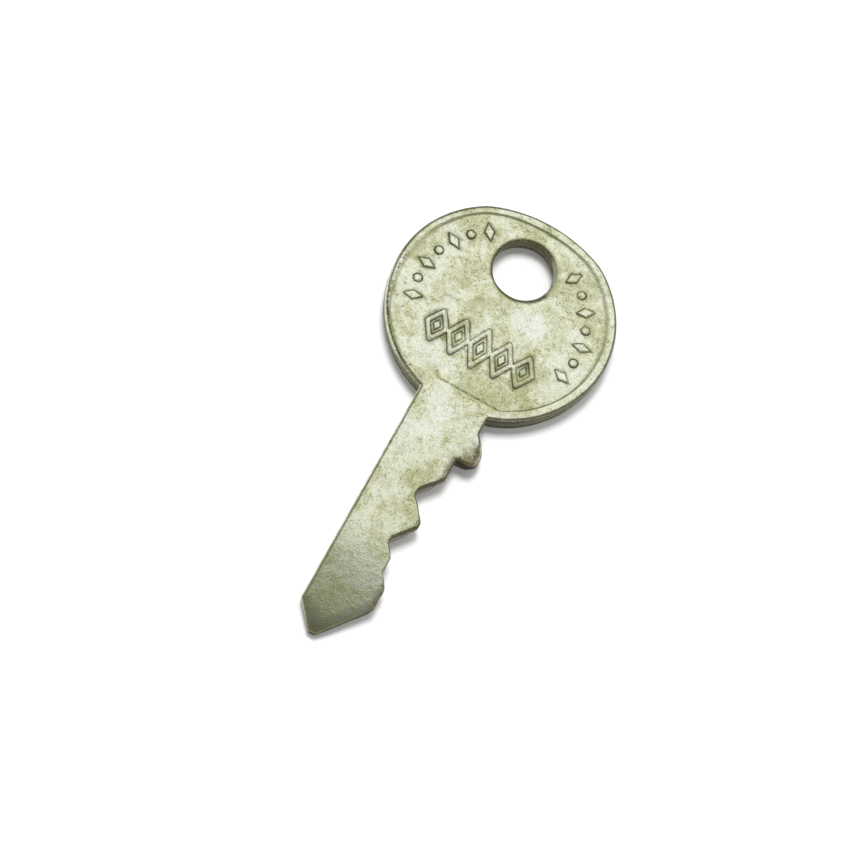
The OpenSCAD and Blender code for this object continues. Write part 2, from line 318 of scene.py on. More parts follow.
# %% Sizes of the rim and the step down to the field
RIM = [(-180, 0.36), (-150, 0.32), (-120, 0.36), (-100, 0.6), (-80, 0.76), (-50, 0.8), (-25, 0.84), (0, 0.94),
       (30, 0.88), (70, 0.86), (90, 0.96), (115, 0.92), (145, 0.95), (180, 1.0)]
STEP_SOFT = [(-180, 0.3), (-130, 0.3), (-100, 0.5), (-75, 0.6), (-55, 0.38), (-42, 0.23), (0, 0.2), (16, 0.26),
             (35, 0.46), (60, 0.6), (95, 0.38), (112, 0.15), (180, 0.13)]
STEP_DEEP = [(-180, 0.1), (-130, 0.12), (-95, 0.1), (-60, 0.12), (-35, 0.1), (0, 0.1), (16, 0.1), (60, 0.16),
             (120, 0.14), (180, 0.1)]
STEP_LINE = [(-180, 0.4), (-150, 0.2), (-118, 0.1), (-90, 0.1), (-60, 0.15), (-30, 0.35), (0, 0.5), (16, 0.35),
             (30, 0.2), (60, 0.15), (90, 0.65), (120, 0.9), (180, 0.9)]
FIELD_EDGE_Y = 4.0
BLADE_STEP_DEEP = 0.05


def field_shape(points):
    """Distance into the field from its edge, and the step's softness, depth and strength of line there."""
    x, y = points[:, 0], points[:, 1] - BOW_Y
    angle = angle_about(points, BOW_Y)
    edge = np.linalg.norm(bow_point(angle) - [0, BOW_Y], axis=1)
    to_rim = edge - by_angle(RIM, angle) - np.hypot(x, y)
    to_blade = points[:, 1] - FIELD_EDGE_Y
    by_blade = smooth((to_rim - to_blade) / 0.5 + 0.5)
    fading = 0.3 + 1.8 * smooth((-2.0 - x) / 1.6)
    soft = by_angle(STEP_SOFT, angle) * (1 - by_blade) + fading * by_blade
    away = smooth(to_blade / 3.0)
    deep = by_angle(STEP_DEEP, angle) * away + BLADE_STEP_DEEP * (1 - away)
    line = by_angle(STEP_LINE, angle) * (1 - by_blade) + by_blade
    return np.minimum(to_rim, to_blade), soft, deep, line


print("the bow's middle is", field_shape(bow_middle)[0].round(2), "mm into the field")

# %% [markdown]
# ## The raised marks
# The die also leaves raised marks: a row of five linked lozenges across the bow, and an arc of small lozenges
# and round pellets on each side. They are plain ornament. Each mark is a line with a thickness, a solid
# lozenge or a dot, and for each one we can say how far a point is from it. That distance gives the height:
# a soft bank at the foot and a rounded top, like real coining.

# %% List the marks
ROW_Y, ROW_STEP, ROW_TALL, ROW_FALL = 9.0, 2.4, 5.4, 0.55
LINE_W, CORE_SHARE = 0.48, 0.45
MARK_X, ARC_Y, ARC_R, ARC_FROM, ARC_STEP = -0.15, BOW_Y - 0.15, 8.75, 33.0, 12.5
ARC_MARKS, SMALL_W, SMALL_H, PELLET_R = 7, 0.95, 1.8, 0.425


def lozenge(x, y, w, h, turn=0.0):
    c, s = math.cos(turn), math.sin(turn)
    raw = [(w / 2, 0), (0, h / 2), (-w / 2, 0), (0, -h / 2)]
    return np.array([(x + px * c - py * s, y + px * s + py * c) for px, py in raw])


row_lines, solid_marks, dots = [], [], []
for i in range(-2, 3):
    w, h = ROW_STEP + LINE_W / 2, ROW_TALL - abs(i) * ROW_FALL
    slope = math.hypot(w, h)
    row_lines.append(lozenge(MARK_X + i * ROW_STEP, ROW_Y, w - LINE_W * slope / h, h - LINE_W * slope / w))
    inner_w, inner_h = w - 2 * LINE_W * slope / h, h - 2 * LINE_W * slope / w
    solid_marks.append(lozenge(MARK_X + i * ROW_STEP, ROW_Y, inner_w * CORE_SHARE, inner_h * CORE_SHARE))
row_solids = len(solid_marks)
for side in (1, -1):
    for i in range(ARC_MARKS):
        a = math.radians(side * (ARC_FROM + i * ARC_STEP))
        x, y = MARK_X + ARC_R * math.sin(a), ARC_Y + ARC_R * math.cos(a)
        if i % 2 == 0:
            solid_marks.append(lozenge(x, y, SMALL_W, SMALL_H, -a))
        else:
            dots.append((x, y, PELLET_R))
print(len(row_lines), "lined lozenges,", len(solid_marks), "solid lozenges and", len(dots), "pellets")

# %% Measure the distance to the nearest mark
FAR = 9.0


def to_loop(points, loop):
    best = np.full(len(points), FAR)
    for a, b in zip(loop, np.roll(loop, -1, 0)):
        t = np.clip(((points - a) @ (b - a)) / ((b - a) @ (b - a)), 0, 1)
        best = np.minimum(best, np.linalg.norm(points - a - t[:, None] * (b - a), axis=1))
    return best


def to_marks(points, arcs=True):
    """Distance outside the nearest mark; negative inside it."""
    best = np.full(len(points), FAR)
    for loop in row_lines:
        best = np.minimum(best, to_loop(points, loop) - LINE_W / 2)
    for loop in solid_marks if arcs else solid_marks[:row_solids]:
        sign = np.where(inside(points, loop), -1, 1)
        best = np.minimum(best, sign * to_loop(points, loop) - 0.03)
    for x, y, r in dots if arcs else []:
        best = np.minimum(best, np.hypot(points[:, 0] - x, points[:, 1] - y) - r)
    return best


print("and", to_marks(bow_middle).round(2), "mm from the nearest mark")

# %% [markdown]
# ## The height of the upper face
# In the end the whole upper face is one function: give it points, and it returns heights. It is made of three
# parts, and each takes something off the flat strip. Each also notes where dirt collects and where painted
# shade darkens a rounded edge, and where the metal is rubbed bright and where a highlight is painted on,
# because the material will need both.
# The first part is the coined bow. Dirt lies in the corner of the step, in a fine dark line along its lower
# left, in a seam towards the blade, and round the foot of every mark. The tops of the marks and the upper edge
# of the step are brightened: rubbed wear with a painted highlight on it.

# %% Coin the bow
BOW_FOOT_Y = 1.5
MARK_RISE = 0.72


def coin_bow(points, z, grime_and_shade, wear_and_highlight):
    """Presses the field in, leaves the marks standing, adds the dirt beside them, and paints highlights with
    the wear on top.
    """
    x, y = points[:, 0], points[:, 1]
    bow = y > BOW_FOOT_Y
    into, soft, deep, line = field_shape(points)
    pressed = smooth(into / soft + 0.35) * bow
    z -= deep * pressed
    away = smooth((y - FIELD_EDGE_Y) / 1.5)
    corner = hump(into - 0.55 * soft, 0.3 * soft + 0.02) * bow
    corner *= 0.15 + 0.85 * away
    grime_and_shade += 0.8 * line * corner * np.minimum(1, 0.2 / soft)
    turn = angle_about(points, BOW_Y)
    crack = hump(into + 0.14, 0.075) * bow * smooth((turn + 158) / 8) * smooth((-76 - turn) / 16)
    grime_and_shade += crack * smooth((slow_noise(points, 3.1, 57.0) + 0.12) / 0.2)
    seam = hump(y - FIELD_EDGE_Y - 0.1, 0.075) * smooth((x + 2.6) / 1.8) * smooth((4.8 - x) / 0.6)
    grime_and_shade += 0.7 * seam * smooth((slow_noise(points, 3.2, 27.0) + 0.06) / 0.22)
    # Painted highlight, with rubbed wear, along the upper edge of the step.
    wear_and_highlight += 0.7 * hump(into + 0.35 * soft, 0.1) * bow * away
    mark = to_marks(points)
    raised = smooth((0.06 - mark) / 0.13) * pressed
    z += raised * deep * MARK_RISE
    uneven = smooth((slow_noise(points, 0.75, 33.0) + 0.3) / 0.6) + 0.5 * smooth((-1.5 - x) / 4)
    grime_and_shade += (0.42 + 0.7 * uneven) * hump(mark - 0.04, 0.046 + 0.02 * uneven) * pressed
    grime_and_shade += 0.8 * smooth((slow_noise(points, 1.8, 71.0) - 0.1) / 0.14) * hump(mark - 0.05, 0.065) * pressed
    # Painted highlight, with rubbed wear, on the tops of the marks.
    wear_and_highlight += 0.6 * smooth((-0.02 - mark) / 0.12) * pressed


# %% [markdown]
# The second part is the hole. Its punched edge is worn round by the key ring, and more so towards the cut side,
# where the key hangs. There the ring keeps it bright. Elsewhere the rounding is darkened by dirt and by painted
# shade, and a thin painted highlight runs just outside it.

# %% Wear the hole
HOLE_TOP = [(-180, 3.08), (-135, 3.2), (-90, 3.2), (-45, 3.28), (0, 3.28), (45, 3.1), (90, 2.95), (135, 3.0),
            (180, 3.08)]
HOLE_LOW = [(-180, 3.3), (-90, 3.3), (-45, 3.45), (0, 3.5), (45, 3.35), (90, 3.1), (180, 3.3)]
HOLE_WEAR = [(-180, 0.46), (-135, 0.34), (-90, 0.3), (-45, 0.28), (0, 0.3), (45, 0.42), (90, 0.56), (135, 0.5),
             (180, 0.46)]


def past_hole(points, edge):
    """Distance outside the hole's edge, which is a table of radii by angle."""
    return np.hypot(points[:, 0], points[:, 1] - HOLE_Y) - by_angle(edge, angle_about(points, HOLE_Y))


def hole_bright(points):
    """Where rings have kept the hole's worn edge bright: on its cut side, where the key hangs."""
    around = angle_about(points, HOLE_Y)
    return smooth((around - 28) / 20) * smooth((116 - around) / 14)


def edge_drop(d, r):
    """How far a worn edge of radius r lies below the flat face, at the distance d from the edge."""
    t = np.clip(1 - d / np.maximum(r, 1e-6), 0, 1)
    return r * (1 - np.sqrt(np.maximum(1 - t * t, 0)))


def wear_hole(points, z, grime_and_shade, wear_and_highlight):
    """Rounds the hole's edge, darkens the rounding with dirt and painted shade, keeps its cut side bright, and
    paints a highlight outside it.
    """
    wear = by_angle(HOLE_WEAR, angle_about(points, HOLE_Y))
    past = past_hole(points, HOLE_TOP)
    z -= edge_drop(np.maximum(past, 0), wear) * np.minimum(1, 0.34 / wear)
    z -= 0.03 * hump(past, 0.7)
    bright = hole_bright(points)
    # Dirt and painted shade on the rounding, with less of both on the cut side.
    grime_and_shade += (0.85 - 0.75 * bright) * smooth((wear * 1.02 - past) / 0.14)
    wear_and_highlight += 0.35 * bright * smooth((wear - past) / 0.1)
    # A painted highlight: a thin bright line just outside the worn rounding.
    wear_and_highlight += 0.6 * hump(past - wear - 0.14, 0.08)


print("the hole is worn by", min(w for _, w in HOLE_WEAR), "to", max(w for _, w in HOLE_WEAR), "mm")

# %% [markdown]
# The third part is the blade and all the outer edges. The lug slopes down to its nose. The blade gets thinner
# little by little from the second cut on, more so along the edges of the tip, and the filed cuts have a bevel.
# Every edge is then rounded by its own radius. A rounded edge is darkened where nothing touches it, by dirt and
# by painted shade, and bright where a pocket or a hand rubs it: along the spine and round the lower left of the
# bow.

# %% Wear the blade and the edges
THIN_FROM, THIN_STEPS = -12.5, 80
BEVEL_SLOPE, LUG_FALL = 0.32, 0.14
LOWEST_TOP = 0.8
rubbed_bow = smooth((bow_angle + 152) / 18) * smooth((-82 - bow_angle) / 16)
rubbed_and_glint = np.where(on_bow, rubbed_bow, on_spine.astype(float))
rubbed_and_glint *= np.clip(0.9 + 0.5 * slow_noise(outline, 1.4, 51.0), 0.4, 1)
rubbed_and_glint[tip_slope] = 0.0
# At the third cut the edge gets a painted glint: bright spots along its top.
rubbed_and_glint[cut_side & (outline[:, 1] < -14.2) & (outline[:, 1] > -18.2)] = 0.7


def thinning(y):
    """How far the blade's upper face has come down at y. It starts at the second cut and steepens."""
    ys = np.linspace(THIN_FROM, TIP_Y, THIN_STEPS)
    slope = 0.115 * smooth((THIN_FROM - ys) / 6.0) + 0.16 * smooth((-21.5 - ys) / 3.2)
    fallen = np.concatenate([[0], np.cumsum((slope[1:] + slope[:-1]) / 2 * np.diff(-ys))])
    return np.interp(-y, -ys, fallen)


def wear_edges(points, z, grime_and_shade, wear_and_highlight):
    """Lowers the lug and the blade's end, then bevels and rounds the edges."""
    x, y = points[:, 0], points[:, 1]
    d, k = to_outline(points)
    lug = smooth((x - 3.2) / 2.0) * smooth((1.3 - y) / 1.6) * (y > STOP_Y - 0.3)
    z -= LUG_FALL * lug ** 1.4
    z -= thinning(y)
    z -= 0.15 * smooth((-18.8 - y) / 1.6) * np.clip(1 - d / 1.15, 0, 1) ** 2
    z -= BEVEL_SLOPE * np.maximum(bevel[k] - d, 0)
    z -= edge_drop(d, top_round[k])
    share = d / top_round[k]
    edge_rub_and_glint = rubbed_and_glint[k]
    turn = angle_about(points, BOW_Y)
    upper_left = 0.3 * smooth((turn + 70) / 20) * smooth((10 - turn) / 20) * (y > BOW_FOOT_Y)
    narrow = np.minimum(1, 0.3 / top_round[k]) ** 2 + upper_left
    # Dirt and painted shade on each rounded edge and on the file's bevel: the band where the metal turns away
    # is darkened.
    grime_and_shade += 0.8 * narrow * smooth((1.1 - share) / 0.4) * (1 - edge_rub_and_glint * smooth((0.55 - share) / 0.3))
    grime_and_shade += 0.25 * smooth((bevel[k] - d) / 0.1)
    at_stop = 0.6 * on_lug[k] * smooth((STOP_Y + 0.5 - y) / 0.3) * smooth((0.45 - d) / 0.2)
    grime_and_shade += at_stop * smooth((slow_noise(points, 4.0, 63.0) + 0.25) / 0.3)
    grime_and_shade += 0.7 * on_lug[k] * smooth((0.16 - share) / 0.1)
    grime_and_shade += 0.4 * smooth((-23.2 - y) / 1.2)
    wear_and_highlight += 0.8 * edge_rub_and_glint * smooth((0.45 - share) / 0.3)


def upper_face(points):
    """Height of the upper face at each point, its dirt with painted shade, and its wear with painted
    highlights.
    """
    z, grime_and_shade, wear_and_highlight = np.full(len(points), THICK), np.zeros(len(points)), np.zeros(len(points))
    for part in (coin_bow, wear_hole, wear_edges):
        part(points, z, grime_and_shade, wear_and_highlight)
    return np.maximum(z, LOWEST_TOP), np.clip(grime_and_shade, 0, 1), np.clip(wear_and_highlight, 0, 1)


print("the blade loses", thinning(TIP_Y).round(2), "mm of its thickness towards the tip")

# %% [markdown]
# ## The height of the underside
# The underside was coined by the other half of the die. The photograph doesn't show it, so it is kept plain:
# the same rim, field and row, with no arcs. Its edges are evenly round, and start where the undercut ends.

# %% Height of the underside
BOTTOM_ROUND, HOLE_LOW_WEAR = 0.22, 0.18
LOW_MARK_RISE = 0.92


def lower_face(points):
    """Height, dirt and wear of the underside at each point."""
    d, k = to_outline(points)
    d = np.maximum(d - undercut[k], 0)
    z = np.zeros(len(points))
    bow = points[:, 1] > BOW_FOOT_Y
    into, soft, deep, _ = field_shape(points)
    pressed = smooth((into - 0.1) / soft + 0.35) * bow
    mark = to_marks(points, arcs=False)
    raised = smooth((0.07 - mark) / 0.2) * pressed
    z += deep * pressed - raised * deep * LOW_MARK_RISE
    z += edge_drop(np.maximum(past_hole(points, HOLE_LOW), 0), HOLE_LOW_WEAR)
    z += edge_drop(d, BOTTOM_ROUND)
    grime_and_shade = hump(mark - 0.1, 0.06) * pressed + 0.9 * hump(into - 0.2, 0.1) * bow
    grime_and_shade += 0.4 * smooth((BOTTOM_ROUND - d) / 0.15)
    wear_and_highlight = 0.6 * hump(d - 0.26, 0.15)
    return np.minimum(z, 1.0), np.clip(grime_and_shade, 0, 1), np.clip(wear_and_highlight, 0, 1)


# %% [markdown]
# ## Points where the shape changes
# A mesh should have many points where the surface bends, and few where it is flat. We collect lines of points
# beside every edge, step and mark, and fill the rest with a loose grid. Blender's own triangulation then joins
# them all, and it keeps every line as a run of edges, so the relief stays crisp. The lines of the rim's step
# would run into the outline near the neck. They are cut off a tenth of a millimetre before it, because points
# that almost touch the outline make slivers.

# %% Make rings and moved loops


def hole_ring(edge, wear, share):
    """A closed line round the hole. Share 0 is its edge, and share 1 the outside of the worn rounding."""
    angle = np.linspace(-180, 180, 216, endpoint=False)
    radius = by_angle(edge, angle) + by_angle(wear, angle) * share
    angle = np.radians(angle)
    return np.stack([radius * np.sin(angle), HOLE_Y + radius * np.cos(angle)], 1)


def ring(centre, radius, step=0.09):
    count = max(10, int(2 * math.pi * radius / step))
    t = np.linspace(0, 2 * math.pi, count, endpoint=False)
    return np.stack([centre[0] + radius * np.sin(t), centre[1] + radius * np.cos(t)], 1)


def offset_loop(loop, out, arc_step=0.07, run_step=0.12):
    """A small shape moved outwards by `out`, with round corners."""
    area = np.sum(loop[:, 0] * np.roll(loop[:, 1], -1) - loop[:, 1] * np.roll(loop[:, 0], -1))
    loop = loop if area > 0 else loop[::-1]
    result = []
    n = len(loop)
    for i in range(n):
        p, q, s = loop[i - 1], loop[i], loop[(i + 1) % n]
        a, b = unit(q - p), unit(s - q)
        na, nb = np.array([a[1], -a[0]]), np.array([b[1], -b[0]])
        if out > 0.02:
            start = math.atan2(na[1], na[0])
            sweep = (math.atan2(nb[1], nb[0]) - start) % (2 * math.pi)
            steps = max(2, math.ceil(sweep * out / arc_step))
            for k in range(steps + 1):
                t = start + sweep * k / steps
                result.append(q + out * np.array([math.cos(t), math.sin(t)]))
        else:
            middle = unit(na + nb)
            result.append(q + middle * out / max(0.35, middle @ na))
    result = np.array(result)
    points = []
    for a, b in zip(result, np.roll(result, -1, 0)):
        count = max(1, math.ceil(np.linalg.norm(b - a) / run_step))
        points += [a + (b - a) * k / count for k in range(count)]
    return np.array(points)


# %% Collect the lines and the grid
EDGE_SHARES = (0.06, 0.22, 0.48, 0.8, 1.1)
STEP_SHARES = (-0.5, -0.2, 0.1, 0.4, 0.75, 1.1)


def step_lines(rim):
    """Open lines along the step, on the rim's side and on the blade's side, clear of the outline."""
    lines = []
    angle = np.arange(-161.0, 161.0, 0.7)
    for share in STEP_SHARES:
        move = by_angle(RIM, angle) + by_angle(STEP_SOFT, angle) * share
        arc = np.array([bow_point(a, m) for a, m in zip(angle, move)])
        blade_y = FIELD_EDGE_Y + 0.3 * share
        lines.append(arc[arc[:, 1] > blade_y])
        lines.append(np.stack([np.arange(-6.2, 6.3, 0.2), np.full(63, blade_y)], 1))
    for i, line in enumerate(lines):
        gap = np.linalg.norm(line - rim[nearest(line, rim)], axis=1)
        lines[i] = line[inside(line, rim) & (gap > 0.1)]
    return lines


def face_lines(taper, rounding, hole, hole_wear, arcs):
    """Closed lines beside the edge, the hole and the marks, then open ones at the step.

    The first two closed lines bound the face.
    """
    rim = outline + inward * taper[:, None]
    lines = [rim, hole_ring(hole, hole_wear, 0)]
    lines += [rim + inward * (rounding * share)[:, None] for share in EDGE_SHARES]
    lines.append(rim + inward * (rounding + 0.22)[:, None])
    lines += [hole_ring(hole, hole_wear, share) for share in (*EDGE_SHARES, 1.6, 2.4)]
    half = LINE_W / 2
    for loop in row_lines:
        lines += [offset_loop(loop, out)
                  for out in (-half - 0.12, -half - 0.03, -half + 0.07, half - 0.07, half + 0.03, half + 0.12)]
    for loop in solid_marks if arcs else solid_marks[:row_solids]:
        lines += [offset_loop(loop, out) for out in (-0.1, 0.0, 0.07, 0.16)]
    for x, y, r in dots if arcs else []:
        lines += [ring((x, y), r + out) for out in (-0.22, -0.1, 0.0, 0.07, 0.16)]
    return lines, step_lines(rim)


def grid_points(low, high, step):
    """A grid of points in rows, with every other row moved by half a step."""
    rows = np.arange(low[1], high[1], step * 0.866)
    columns = np.arange(low[0], high[0], step)
    return np.array([(x + (0.5 * step if i % 2 else 0), y) for i, y in enumerate(rows) for x in columns])


# %% [markdown]
# The triangulation fills everything up to the points' hull, and the hole too. Asking of each triangle whether
# its middle lies in the key goes wrong for slivers on the outline, whose middle is almost on the line. So we
# start from the triangles on the metal's side of the outline and the hole, and walk from each to its
# neighbours, without stepping over either loop.

# %% Keep the triangles between the outline and the hole


def between(flat, tris, rim, hole):
    """The numbers of the triangles outside the hole and inside the rim. All triangles turn to the left."""
    metal_side = {}
    for loop, side in ((rim, 1), (hole, -1)):
        x, y = flat[loop].T
        turns_left = (x * np.roll(y, -1) - y * np.roll(x, -1)).sum() > 0
        for a, b in zip(loop, loop[1:] + loop[:1]):
            metal_side[(a, b)] = (side > 0) == turns_left
            metal_side[(b, a)] = not metal_side[(a, b)]
    owner = {}
    for i, (a, b, c) in enumerate(tris.tolist()):
        owner[(a, b)] = owner[(b, c)] = owner[(c, a)] = i
    waiting = [owner[edge] for edge, on_metal in metal_side.items() if on_metal and edge in owner]
    kept = set(waiting)
    while waiting:
        a, b, c = tris[waiting.pop()].tolist()
        for edge in ((b, a), (c, b), (a, c)):
            if edge not in metal_side and edge in owner and owner[edge] not in kept:
                kept.add(owner[edge])
                waiting.append(owner[edge])
    return sorted(kept)


# %% [markdown]
# The triangulation wants one list of points and one list of edges. The grid is finer at the tip and on the lug,
# where the face slopes, and keeps clear of the lines. Afterwards we ask the height function for every point
# that is left.

# %% Triangulate one face
FINE_BELOW_Y = -12.0
GRID_GAP = 0.12


def build_face(taper, rounding, hole, hole_wear, arcs):
    """Points and triangles of one face, and the numbers of the points round its rim and its hole."""
    lines, open_lines = face_lines(taper, rounding, hole, hole_wear, arcs)
    points, edges = [], []
    for group, closed in ((lines, True), (open_lines, False)):
        for line in group:
            base, n = len(points), len(line)
            points += [Vector(p) for p in line]
            edges += [(base + i, base + (i + 1) % n) for i in range(n if closed else n - 1)]
    near = np.concatenate(lines + open_lines)
    fine = grid_points((-4.2, TIP_Y), (5.6, FINE_BELOW_Y), 0.3)
    lug = grid_points((2.8, STOP_Y), (5.4, 1.6), 0.17)
    coarse = grid_points((-12, TIP_Y), (12, END_Y), 0.42)
    fill = np.concatenate([fine, coarse[coarse[:, 1] > FINE_BELOW_Y], lug])
    fill = fill[inside(fill, lines[0]) & ~inside(fill, lines[1])]
    gap = np.linalg.norm(fill - near[nearest(fill, near)], axis=1)
    points += [Vector(p) for p in fill[gap > GRID_GAP]]
    verts, _, faces, origin, _, _ = delaunay_2d_cdt(points, edges, [], 0, 1e-5, True)
    flat = np.array([tuple(v) for v in verts])
    tris = np.array([f[:3] for f in faces if len(f) == 3])
    turn = np.cross(flat[tris[:, 1]] - flat[tris[:, 0]], flat[tris[:, 2]] - flat[tris[:, 0]])
    tris[turn < 0] = tris[turn < 0][:, ::-1]
    where = {}
    for i, sources in enumerate(origin):
        for s in sources:
            where.setdefault(s, i)
    rim = [where[i] for i in range(len(lines[0]))]
    hole = [where[len(lines[0]) + i] for i in range(len(lines[1]))]
    return flat, tris[between(flat, tris, rim, hole)], rim, hole


n = len(outline)
top_flat, top_tris, top_rim, top_hole = build_face(np.zeros(n), top_round, HOLE_TOP, HOLE_WEAR, True)
low_flat, low_tris, low_rim, low_hole = build_face(
    undercut, np.full(n, BOTTOM_ROUND), HOLE_LOW, [(-180, HOLE_LOW_WEAR), (180, HOLE_LOW_WEAR)], False)
print("upper face:", len(top_tris), "triangles; underside:", len(low_tris))

# %% Give both faces their heights
top_z, top_grime_and_shade, top_wear_and_highlight = upper_face(top_flat)
top_z += 0.006 * slow_noise(top_flat, 0.35, 3.0) + 0.003 * slow_noise(top_flat, 1.1, 9.0)
top_z = np.minimum(top_z, THICK)
low_z, low_grime_and_shade, low_wear_and_highlight = lower_face(low_flat)
verts = np.concatenate([np.c_[top_flat, top_z], np.c_[low_flat, low_z]])
low_base = len(top_flat)
faces = [tuple(t) for t in top_tris] + [tuple(t + low_base)[::-1] for t in low_tris]
print("heights of the upper face from", top_z.min().round(2), "to", top_z.max().round(2), "mm")

# %% [markdown]
# ## The walls
# The wall round a punched key has two zones. The punch burnishes the upper part smooth, and the lower part
# tears off, a little inwards. We join the two faces by rows of points: the upper rows stay straight, and the
# lower ones lean in and wander slightly. The wall of the hole is made in the same way, leaning outwards.
# Each point also says how far down the wall it is (drop), whether it is a wall at all (flank) and whether it
# was filed or punched (filed). The top of the wall is paler where the edge above it is rubbed, and at the third
# cut where a glint is painted on. Along the tip's left slope the whole wall is pale: a painted reflection of
# the white card.

# %% Join the faces with walls
WALL_ROWS = 7
BOX_X = 11.599  # the CAD bow reaches 11.6 mm to each side, and the scene stays just inside it

paint = {"grime_and_shade": np.concatenate([top_grime_and_shade, low_grime_and_shade]), "wear_and_highlight": np.concatenate([top_wear_and_highlight, low_wear_and_highlight])}
for name in ("flank", "filed", "drop"):
    paint[name] = np.zeros(len(verts))


def add_wall(top_ids, low_ids, into_metal, is_filed=0.0, is_sheen=0.0, is_rubbed_and_glint=0.0):
    """Rows of points from the upper face's edge down to the underside's edge, and the faces between them."""
    global verts
    n = len(top_ids)
    previous, last = list(top_ids), [low_base + i for i in low_ids]
    top, low = verts[previous], verts[last]
    for row in range(1, WALL_ROWS + 1):
        if row == WALL_ROWS:
            current = last
        else:
            f = row / WALL_ROWS
            lean = smooth((f - 0.42) / 0.58)
            p = top * (1 - f) + low * f
            p[:, :2] = top[:, :2] * (1 - lean) + low[:, :2] * lean
            wander = 0.02 * slow_noise(p, 2.2, 5.0) * math.sin(math.pi * f)
            p[:, :2] += into_metal * wander[:, None]
            current = list(range(len(verts), len(verts) + n))
            verts = np.concatenate([verts, p])
            wall_rub_and_glint = is_rubbed_and_glint * smooth((0.3 - f) / 0.3)
            values = {"grime_and_shade": 0.25 + 0.35 * (1 - abs(2 * f - 1)), "wear_and_highlight": np.maximum(is_sheen, wall_rub_and_glint),
                      "flank": 1 - 0.3 * wall_rub_and_glint, "filed": is_filed, "drop": f}
            for name, value in values.items():
                paint[name] = np.concatenate([paint[name], np.full(n, value)])
        for i in range(n):
            j = (i + 1) % n
            faces.append((previous[i], current[i], current[j], previous[j]))
        previous = current
    for ids in (list(top_ids), last):
        paint["flank"][ids] = 0.7 - 0.25 * is_rubbed_and_glint
        paint["filed"][ids] = is_filed * 0.7
    paint["drop"][last] = 1.0


# The wall of the tip's left slope is painted pale: a painted reflection of the white card.
left_slope = (tip_slope & (outline[:, 0] < TIP_X - 0.3)).astype(float)
add_wall(top_rim, low_rim, inward, cut_side.astype(float), left_slope, rubbed_and_glint)
add_wall(top_hole, low_hole, inward_of(top_flat[top_hole]))
verts = np.clip(verts, [-BOX_X, TIP_Y, 0], [BOX_X, END_Y, THICK])
print(len(verts), "points and", len(faces), "faces")

# %% [markdown]
# ## Tarnish
# Nickel silver goes from a pale silver to a yellowish olive where fingers touch it and then leave it alone.
# The broad patches have no clear edge, so a few soft spots, each with a centre, a size and a strength, are
# enough, and the shader breaks them up later. Narrow bands of tarnish also stay beside the step, the marks and
# the hole's worn edge, where a polishing cloth can't reach.

# %% Paint the tarnish
PATCHES = [(4, 14, 4, 2.4, -0.42), (-5.5, 13, 1.4, 1.6, -0.4), (0, 0.5, 2.6, 2.6, -0.4),
           (3.2, 5.0, 3.0, 1.1, 0.28), (6, 7.2, 1.8, 2.4, 0.3), (-3, 14.8, 2.2, 1.8, 0.35),
           (-3.5, 19.5, 1.3, 2.2, 0.3), (0, 22.6, 4, 0.8, 0.3), (1.2, -7.0, 2.4, 4.5, 0.32),
           (-7.5, 8, 2, 3, 0.1), (-2.5, -20.5, 1.4, 3.5, 0.4), (-6, 6, 3, 1.8, -0.3)]


def soft_spots(points, table, base):
    """A base value plus soft spots. Each row holds a centre (x, y), a width, a height and a strength."""
    total = np.full(len(points), base)
    for x, y, wide, tall, strength in table:
        total += strength * np.exp(-((points[:, 0] - x) / wide) ** 2 - ((points[:, 1] - y) / tall) ** 2)
    return total


tarnish = soft_spots(verts, PATCHES, 0.4)
past = past_hole(verts, HOLE_TOP)
past_wear = past - by_angle(HOLE_WEAR, angle_about(verts, HOLE_Y))
on_top = verts[:, 2] > 2.0
tarnish += 0.6 * hump(past_wear - 0.05, 0.12)
tarnish += 0.8 * hole_bright(verts) * hump(past_wear + 0.2, 0.2) * on_top
upper_bow = (verts[:, 1] > 3.0) & on_top
into, soft, _, _ = field_shape(verts[:, :2])
tarnish += 0.7 * hump(into - 0.3 * soft, 0.12) * upper_bow
tarnish += 0.7 * hump(to_marks(verts[:, :2]) - 0.04, 0.09) * upper_bow
paint["tarnish"] = tarnish
print("tarnish from", tarnish.min().round(2), "to", tarnish.max().round(2))

# %% [markdown]
# Two more values follow. The blade is darkened towards its end, in a dull olive: painted shade, added to the
# shade-off that its bent end already gives. Brown stains sit on the lug, on the teeth and at the tip. The walls
# that lie in the shade under the bow's lower right edge and inside the hole are painted dark in the same mask:
# painted shade.

# %% Paint the shade of the blade's end, the brown stains and the walls' painted shade
# Stain spots: centre (x, y), width, height and strength. The last one, at the bow's lower right, is painted
# shade on the walls there.
STAIN_AND_SHADE_SPOTS = [(4.3, -1.75, 1.15, 1.05, 1.15), (4.6, -0.6, 0.5, 1.0, 0.9), (4.1, -2.4, 0.9, 0.35, 0.6),
          (3.0, -19.6, 0.5, 1.4, 0.7), (3.0, -3.6, 0.35, 1.0, 0.5), (3.0, -10.4, 0.35, 0.8, 0.2),
          (-1.0, -24.3, 1.1, 0.8, 0.7), (7.3, 3.5, 2.2, 1.5, 0.28)]
# Painted shade: the blade is darkened towards its end.
paint["tip_shade"] = 0.5 * smooth((-10.5 - verts[:, 1]) / 9.0) + 0.5 * smooth((-18.5 - verts[:, 1]) / 5.0)
stain_and_shade = soft_spots(verts, STAIN_AND_SHADE_SPOTS, 0.0)
turn, drop, on_wall = angle_about(verts, BOW_Y), paint["drop"], paint["flank"] > 0.5
# Painted shade on the upper walls under the bow's lower right edge.
shade_under_bow = smooth((turn - 98) / 14) * smooth((0.27 + 0.12 * smooth((turn - 138) / 15) - drop) / 0.2)
stain_and_shade += 0.85 * shade_under_bow * on_wall
